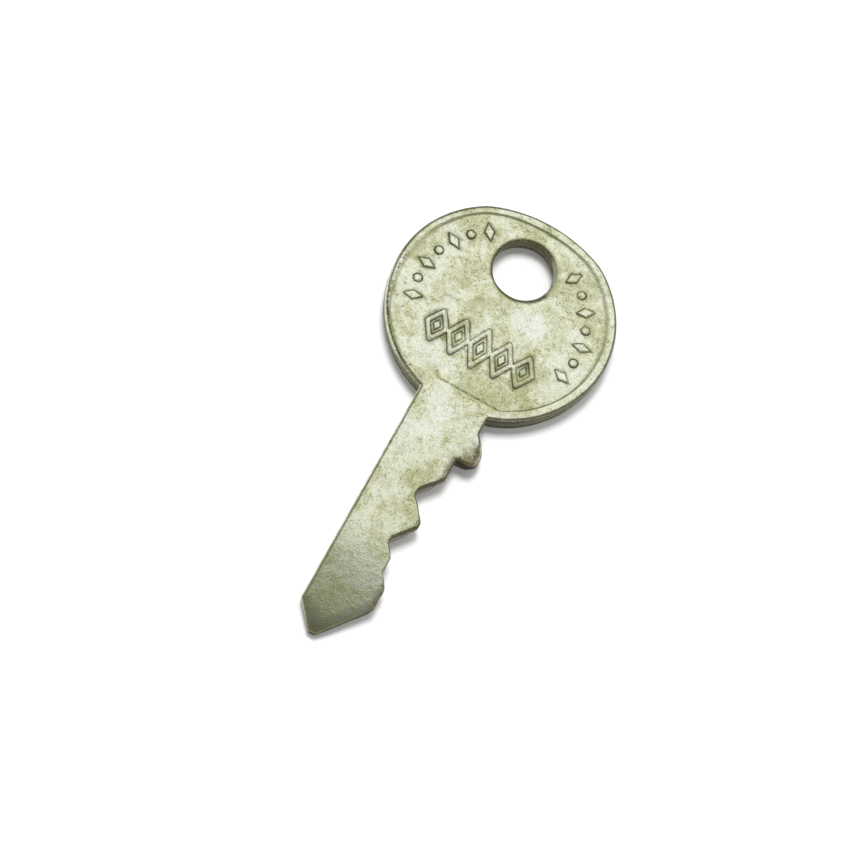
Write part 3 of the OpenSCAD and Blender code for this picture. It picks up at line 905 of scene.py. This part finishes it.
# Painted shade on the upper walls inside the hole.
stain_and_shade += 0.5 * smooth((0.6 - past) / 0.3) * smooth((0.55 - drop) / 0.4) * on_wall
paint["stain_and_shade"] = stain_and_shade
print("stained points:", int((stain_and_shade > 0.5).sum()))

# %% [markdown]
# ## The mesh
# The points and faces become a Blender mesh, and the values painted above become attributes that a material
# reads.

# %% Make the mesh object
mesh = bpy.data.meshes.new("key_worn")
mesh.from_pydata([tuple(v * MM) for v in verts], [], [tuple(int(i) for i in f) for f in faces])
for name, values in paint.items():
    layer = mesh.attributes.new(name, "FLOAT", "POINT")
    layer.data.foreach_set("value", values.astype(np.float32))
mesh.shade_smooth()
mesh.validate()
key = bpy.data.objects.new("key_worn", mesh)
bpy.context.collection.objects.link(key)
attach(key, "root")
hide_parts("key")
print(len(mesh.vertices), "vertices,", len(mesh.polygons), "faces")

# %% [markdown]
# ## The metal
# The finish is one material made of nodes. A few short helper functions keep the node graph readable:
# each one adds a node, plugs its inputs in and gives back the output.

# %% Helpers for sums and mixes
material = bpy.data.materials.new("worn_nickel_silver")
material.use_nodes = True
nodes, links = material.node_tree.nodes, material.node_tree.links
shader = nodes["Principled BSDF"]


def plug(socket, value):
    """Links another node's output to a socket, or sets a plain value on it."""
    if isinstance(value, bpy.types.NodeSocket):
        links.new(value, socket)
    else:
        socket.default_value = value


def calc(operation, a, b, clamp=False):
    node = nodes.new("ShaderNodeMath")
    node.operation, node.use_clamp = operation, clamp
    plug(node.inputs[0], a)
    plug(node.inputs[1], b)
    return node.outputs[0]


def plus(a, b, clamp=False):
    return calc("ADD", a, b, clamp)


def minus(a, b):
    return calc("SUBTRACT", a, b)


def times(a, b, clamp=False):
    return calc("MULTIPLY", a, b, clamp)


def swing(pattern, size):
    """Moves a noise from round 0.5 to round 0, and makes it stronger or weaker."""
    return times(minus(pattern, 0.5), size)


def ramp(value, low, high, to_low=0.0, to_high=1.0, way="SMOOTHSTEP"):
    """Turns the range from low to high into another range. The way is SMOOTHSTEP or LINEAR."""
    node = nodes.new("ShaderNodeMapRange")
    node.interpolation_type = way
    for socket, v in zip(node.inputs, (value, low, high, to_low, to_high)):
        plug(socket, v)
    return node.outputs[0]


def blend(factor, a, b, way="MIX"):
    node = nodes.new("ShaderNodeMix")
    node.data_type, node.blend_type = "RGBA", way
    for number, value in ((0, factor), (6, a), (7, b)):
        plug(node.inputs[number], value)
    return node.outputs[2]


# %% Helpers for stored values and patterns


def stored(name):
    """A value that was painted on the mesh's points."""
    node = nodes.new("ShaderNodeAttribute")
    node.attribute_name = name
    return node.outputs["Fac"]


place = nodes.new("ShaderNodeTexCoord").outputs["Object"]


def stretched(x, y, z, turn, shift):
    """Coordinates scaled to features per millimetre, and turned about the vertical first."""
    turned, node = nodes.new("ShaderNodeMapping"), nodes.new("ShaderNodeMapping")
    plug(turned.inputs["Vector"], place)
    plug(turned.inputs["Rotation"], (0, 0, math.radians(turn)))
    plug(node.inputs["Vector"], turned.outputs[0])
    plug(node.inputs["Scale"], (x / MM, y / MM, z / MM))
    plug(node.inputs["Location"], (shift, shift * 0.7, shift * 0.3))
    return node.outputs[0]


def cloud(x, y=None, z=None, detail=3.0, rough=0.5, shift=0.0):
    """A soft noise between about 0.3 and 0.7."""
    node = nodes.new("ShaderNodeTexNoise")
    plug(node.inputs["Vector"], stretched(x, y or x, z or x, 0.0, shift))
    plug(node.inputs["Scale"], 1.0)
    plug(node.inputs["Detail"], detail)
    plug(node.inputs["Roughness"], rough)
    return node.outputs["Fac"]


def spots(x, y=None, turn=0.0, shift=0.0):
    """Cells scattered at random: the distance to the nearest one's centre, and a random value for each."""
    node = nodes.new("ShaderNodeTexVoronoi")
    plug(node.inputs["Vector"], stretched(x, y or x, x, turn, shift))
    plug(node.inputs["Scale"], 1.0)
    return node.outputs["Distance"], node.outputs["Color"]


# %% [markdown]
# ### Colour
# The base is a pale grey green. Tarnish pulls it to olive, in mottles of several sizes: broad ones of a few
# millimetres, and fine ones of a tenth of a millimetre. The sum of a slow and a fast noise looks more like real
# metal than one noise with many details. Four more noises, each finer and stronger than the last, add grain.

# %% Mix the mottled colour
BARE, DULLED = (0.785, 0.805, 0.715, 1), (0.695, 0.715, 0.52, 1)
OLIVE, WARM_OLIVE = (0.495, 0.525, 0.27, 1), (0.535, 0.525, 0.29, 1)
GRAIN = [(1.1, 0.08, 51.0), (2.3, 0.12, 57.0), (4.6, 0.2, 63.0), (9.0, 0.34, 69.0)]  # size, strength, shift

slow = cloud(0.33, detail=4.0, rough=0.62, shift=3.0)
middle = cloud(1.6, rough=0.6, shift=11.0)
fast = cloud(7.0, rough=0.65, shift=23.0)
mottle = plus(ramp(slow, 0.4, 0.6, -0.37, 0.37), plus(swing(middle, 1.5), swing(fast, 2.5)))
amount = plus(stored("tarnish"), mottle)
warm = ramp(cloud(0.55, detail=2.0, shift=83.0), 0.42, 0.6)
colour = blend(ramp(amount, -0.45, 0.35, way="LINEAR"), BARE, DULLED)
colour = blend(ramp(amount, 0.35, 1.15, way="LINEAR"), colour, blend(warm, OLIVE, WARM_OLIVE))
grain = 1.0
for size, strength, shift in GRAIN:
    grain = plus(grain, swing(cloud(size, detail=0.0, shift=shift), strength))
colour = blend(1.0, colour, grain, "MULTIPLY")
print("three noises make the mottle, and", len(GRAIN), "more make the grain")

# %% [markdown]
# ### Pits and scratches
# Cells of random size make pits: only some cells get one, and only in some regions. Finer pits come with the
# tarnish. Scratches are the same cells, stretched long and thin, in two directions.

# %% Find the pits and the scratches
pit_far, pit_pick = spots(2.6, shift=5.0)
pits = ramp(minus(pit_far, ramp(pit_pick, 0.62, 0.84, 0.0, 0.24)), -0.06, 0.02, 1.0, 0.0)
where_pitted = ramp(cloud(0.8, detail=2.0, shift=91.0), 0.5, 0.62)
pits = times(pits, plus(times(where_pitted, 0.85), 0.08))
fine_far, fine_pick = spots(6.0, shift=15.0)
fine_pits = ramp(minus(fine_far, ramp(fine_pick, 0.52, 0.78, 0.0, 0.42)), -0.1, 0.02, 1.0, 0.0)
with_tarnish = ramp(amount, -0.2, 0.7, 0.05, 0.8, way="LINEAR")
fine_pits = times(fine_pits, times(with_tarnish, ramp(middle, 0.38, 0.6, 0.25, 1.0)))


def scratch_lines(far, pick):
    """Thin lines along the middles of long cells, in the cells that are picked."""
    return times(ramp(far, 0.05, 0.16, 1.0, 0.0), ramp(pick, 0.6, 0.7))


scratches = calc("MAXIMUM", scratch_lines(*spots(0.5, 9.0, turn=35, shift=8.0)),
                 scratch_lines(*spots(9.0, 0.45, turn=12, shift=31.0)))
print("pits in two sizes, and scratches in two directions")

# %% [markdown]
# ### Dirt, wear, painted shade and painted highlights
# Dirt stays in the corners of the coining, and along the edges dirt lies together with painted shade. Fine dark
# specks lie where both the middle and the fast noise are high. Rubbed places and painted highlights are a
# little paler, and so are scratches.

# %% Add wear and painted highlights, specks, dirt and painted shade, pits and scratches
RUBBED_AND_HIGHLIGHT_COLOUR, SPECK, DIRT_AND_SHADE_COLOUR = (0.76, 0.775, 0.64, 1), (0.24, 0.27, 0.11, 1), (0.082, 0.083, 0.028, 1)
PIT, SCRATCH = (0.15, 0.165, 0.068, 1), (0.9, 0.91, 0.8, 1)

# The stored darkening is real dirt in the corners and painted shade on the rounded edges.
dirt_and_shade = times(stored("grime_and_shade"), ramp(fast, 0.3, 0.6, 0.7, 1.1), clamp=True)
specks = times(ramp(fast, 0.56, 0.66), ramp(middle, 0.44, 0.6))
# Rubbed wear and painted highlights make the face paler.
colour = blend(times(stored("wear_and_highlight"), 0.3), colour, RUBBED_AND_HIGHLIGHT_COLOUR)
colour = blend(times(specks, 0.7), colour, SPECK)
colour = blend(times(dirt_and_shade, 0.96), colour, DIRT_AND_SHADE_COLOUR)
colour = blend(times(calc("MAXIMUM", pits, fine_pits), 0.8), colour, PIT)
colour = blend(times(scratches, 0.12), colour, SCRATCH)
print(len(nodes), "nodes up to the scratches")

# %% [markdown]
# The blade's lower half gets painted highlights across it, the glints of fine ripples, and its end gets painted
# shade. The stains and the walls' painted shade are broken up by two of the noises that make the mottle.

# %% Paint the ripple glints and the shade of the blade's end, and stain the lug
RIPPLE_GLINT_COLOUR, TIP_SHADE_COLOUR = (0.86, 0.88, 0.80, 1), (0.275, 0.305, 0.17, 1)
STAIN_AND_SHADE_COLOUR = (0.225, 0.19, 0.098, 1)

# Painted highlights: short bright glints across the blade's lower half.
ripple_glint = ramp(cloud(2.2, 7.5, 2.0, detail=2.0, shift=77.0), 0.55, 0.68)
on_low = times(ramp(stored("tip_shade"), 0.01, 0.12), ramp(stored("tip_shade"), 0.5, 0.75, 1.0, 0.0))
colour = blend(times(times(ripple_glint, on_low), 0.55), colour, RIPPLE_GLINT_COLOUR)
# Painted shade darkens the blade's end.
colour = blend(times(stored("tip_shade"), 0.78), colour, TIP_SHADE_COLOUR)
broken = plus(ramp(fast, 0.38, 0.62, 0.3, 0.75), ramp(middle, 0.4, 0.6, 0.0, 0.3))
colour = blend(times(stored("stain_and_shade"), broken, clamp=True), colour, STAIN_AND_SHADE_COLOUR)
print(len(nodes), "nodes up to the stains")

# %% [markdown]
# ### The walls' colour
# The walls are dark and brownish, with upright streaks from the punch: partly dirt, and partly painted shade of
# the shadowed card they mirror. Their lower part is painted darker still, as shade near the card. The filed
# cuts are painted dark at the top and paler further down, a painted reflection of the shaded card.

# %% Colour the walls
STREAKS = (0.118, 0.112, 0.066, 1), (0.19, 0.186, 0.118, 1)
LOW_WALL_SHADE = (0.085, 0.075, 0.045, 1)
FILED_SHADE_TOP, FILED_REFLECTION_LOW = (0.085, 0.078, 0.05, 1), (0.36, 0.34, 0.28, 1)
WALL_SHEEN_AND_WEAR, WALL_STAIN_AND_SHADE = (0.55, 0.56, 0.46, 1), (0.03, 0.025, 0.014, 1)

# Dark base of the walls: dirt and painted shade.
streaks = cloud(8.0, 8.0, 0.8, detail=2.0, shift=41.0)
wall = blend(ramp(streaks, 0.3, 0.7), *STREAKS)
# Painted shade: the wall gets darker towards the bottom.
low_wall_shade = ramp(plus(stored("drop"), swing(middle, 0.6)), 0.42, 0.6)
wall = blend(times(low_wall_shade, ramp(fast, 0.35, 0.65, 0.25, 0.6)), wall, LOW_WALL_SHADE)
# Painted shade and reflection on the filed walls: dark at the top, paler lower down.
below = ramp(plus(stored("drop"), swing(middle, 0.7)), 0.05, 0.75)
wall = blend(stored("filed"), wall, blend(below, FILED_SHADE_TOP, FILED_REFLECTION_LOW))
# Pale walls: rubbed wear near the top, and a painted reflection along the tip's left slope.
wall = blend(times(stored("wear_and_highlight"), 0.7), wall, WALL_SHEEN_AND_WEAR)
# Stains and painted shade make the walls almost black.
wall = blend(times(stored("stain_and_shade"), 0.9, clamp=True), wall, WALL_STAIN_AND_SHADE)
colour = blend(stored("flank"), colour, wall)
plug(shader.inputs["Base Color"], colour)
plug(shader.inputs["Metallic"], 1.0)
print(len(nodes), "nodes so far")

# %% [markdown]
# ### Roughness and relief
# Tarnish and dirt scatter light, and rubbed edges mirror it, so the roughness follows the same patterns.
# The bump is in real units. The Distance input is in metres, so a few hundredths of a millimetre are enough to
# break up the reflections without making the metal look like stone.

# %% Set the roughness and the bump
BUMP_DEPTH = 0.04 * MM

rough = plus(ramp(amount, 0.0, 1.0, 0.28, 0.36), times(dirt_and_shade, 0.25))
rough = minus(rough, times(stored("wear_and_highlight"), 0.06))
rough = plus(rough, times(stored("flank"), 0.1))
plug(shader.inputs["Roughness"], rough)
height = plus(middle, times(fast, 0.8))
for dent, depth in ((pits, 0.8), (fine_pits, 0.35), (scratches, 0.3)):
    height = minus(height, times(dent, depth))
height = plus(height, times(times(streaks, stored("flank")), 0.9))
bump = nodes.new("ShaderNodeBump")
plug(bump.inputs["Height"], height)
plug(bump.inputs["Distance"], BUMP_DEPTH)
plug(shader.inputs["Normal"], bump.outputs[0])
mesh.materials.append(material)
print(len(nodes), "nodes in", material.name)

# %% [markdown]
# ## The floor
# The key lies on white card. The card must keep the key's soft shadow but be pure white round it, so it is
# a plain diffuse surface with a little light of its own. Only the camera, reflections and see-through rays
# see that light, so it doesn't fill the shadow.

# %% Make the white card
CARD_HALF, CARD_Z = 1.5, -0.03 * MM

card_mesh = bpy.data.meshes.new("card")
card_corners = [(x * CARD_HALF, y * CARD_HALF, CARD_Z) for x, y in ((-1, -1), (1, -1), (1, 1), (-1, 1))]
card_mesh.from_pydata(card_corners, [], [(0, 1, 2, 3)])
card = bpy.data.objects.new("card", card_mesh)
bpy.context.collection.objects.link(card)
card_material = bpy.data.materials.new("white_card")
card_material.use_nodes = True
nodes, links = card_material.node_tree.nodes, card_material.node_tree.links
paper = nodes["Principled BSDF"]
plug(paper.inputs["Base Color"], (0.9, 0.9, 0.9, 1))
plug(paper.inputs["Roughness"], 1.0)
plug(paper.inputs["Specular IOR Level"], 0.0)
rays = nodes.new("ShaderNodeLightPath").outputs
seen = plus(plus(rays["Is Camera Ray"], rays["Is Glossy Ray"]), rays["Is Transmission Ray"], clamp=True)
plug(paper.inputs["Emission Color"], (1, 1, 1, 1))
plug(paper.inputs["Emission Strength"], times(seen, 0.08))
card_mesh.materials.append(card_material)
print("card:", card_mesh.name)

# %% [markdown]
# ## Light and surroundings
# Flat metal shows what it mirrors. From the camera, the upper face mirrors a place high up and beyond the key,
# so a large soft panel hangs there and gives the face its own colour. A small strong lamp, also beyond the key,
# throws the short shadow towards us. It is hidden from reflections, so it lights the card and not the metal.
# Above and behind the camera the room is dim: the blade's end leans towards it, and so it shades off. Low down
# the room is white, like the card.

# %% Hang the panel and the lamp


def soft_light(name, place, wide, tall, radiance):
    """An area light that looks at the key. Its power comes from how bright its surface should be."""
    light = bpy.data.lights.new(name, "AREA")
    light.shape, light.size, light.size_y = "RECTANGLE", wide, tall
    light.energy = radiance * math.pi * wide * tall
    thing = bpy.data.objects.new(name, light)
    thing.location = place
    thing.rotation_euler = (-Vector(place)).to_track_quat("-Z", "Y").to_euler()
    bpy.context.collection.objects.link(thing)
    return thing


panel = soft_light("panel", (-0.05, 0.25, 0.45), 0.6, 0.32, 1.0)
lamp = soft_light("lamp", (-0.09, 0.125, 0.52), 0.17, 0.17, 24.0)
lamp.visible_glossy = False
for light in (panel, lamp):
    print(light.name, "at", tuple(round(v, 2) for v in light.location))

# %% Set the room's brightness by height
world = bpy.data.worlds.new("studio")
world.use_nodes = True
bpy.context.scene.world = world
nodes, links = world.node_tree.nodes, world.node_tree.links
sky = nodes["Background"]
direction = nodes.new("ShaderNodeSeparateXYZ")
plug(direction.inputs[0], nodes.new("ShaderNodeTexCoord").outputs["Generated"])
plug(sky.inputs["Color"], (1, 1, 1, 1))
plug(sky.inputs["Strength"], ramp(direction.outputs["Z"], 0.05, 0.4, 1.0, 0.34))
print("the room is white at the horizon and dim overhead")

# %% [markdown]
# ## The camera
# The camera stands above the blade's end and looks down, with the key running up to the upper right.
# Its place and turn are written as a matrix: the columns are its right, its up and the way back.

# %% Place the camera
CAMERA_PLACE = (0.002887, -0.143337, 0.32224)
CAMERA_LENS = 153.5

camera_data = bpy.data.cameras.new("camera")
camera_data.sensor_width, camera_data.lens = 36, CAMERA_LENS
camera_data.clip_start = 0.01
camera = bpy.data.objects.new("camera", camera_data)
bpy.context.collection.objects.link(camera)
right = Vector((0.87506669, 0.44622123, 0.18746972))
up = Vector((-0.4838629, 0.7972292, 0.36097409))
back = Vector((0.01161797, -0.40658605, 0.91353862))
turned = Matrix((right, up, back)).transposed().to_4x4()
camera.matrix_world = Matrix.Translation(CAMERA_PLACE) @ turned
bpy.context.scene.camera = camera
bpy.context.scene.view_settings.view_transform = "Standard"
print("camera", round(CAMERA_PLACE[2], 2), "m above the card")
